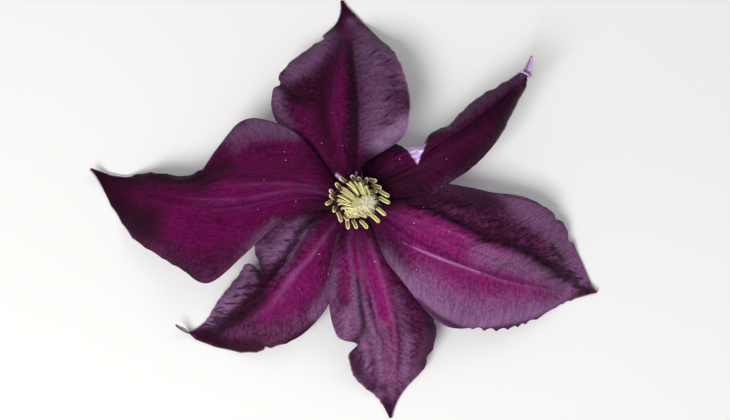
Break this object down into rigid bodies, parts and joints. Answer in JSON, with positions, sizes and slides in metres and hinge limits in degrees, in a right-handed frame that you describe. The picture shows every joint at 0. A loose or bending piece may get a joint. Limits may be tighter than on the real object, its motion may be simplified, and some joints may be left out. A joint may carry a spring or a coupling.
{
  "type": "clematis flower",
  "caption": "Large-flowered clematis bloom lying face up: dark wine-purple waved tepals with a magenta bar, a boss of cream stamens and a bent green stalk",
  "frame": {"origin": "on the surface that the flower lies on, at the middle of its outline seen from above", "axes": "+Z is the way the flower's face looks, up from the surface; +X runs from the tip of the left tepal towards the tip of the right one, the flower's longest way; +Y runs towards the tip of the top tepal"},
  "size_m": [0.1419, 0.1204, 0.0237],
  "materials": {
    "tepals": "satin",
    "stamens": "satin",
    "styles": "satin",
    "stalk": "satin"
  },
  "bodies": {
    "root": {"tepal_top": "tepals", "tepal_upper_right": "tepals", "tepal_right": "tepals", "tepal_bottom": "tepals", "tepal_lower_left": "tepals", "tepal_left": "tepals", "stamens": "stamens", "pistil": "styles", "stalk": "stalk"}
  },
  "joints": []
}
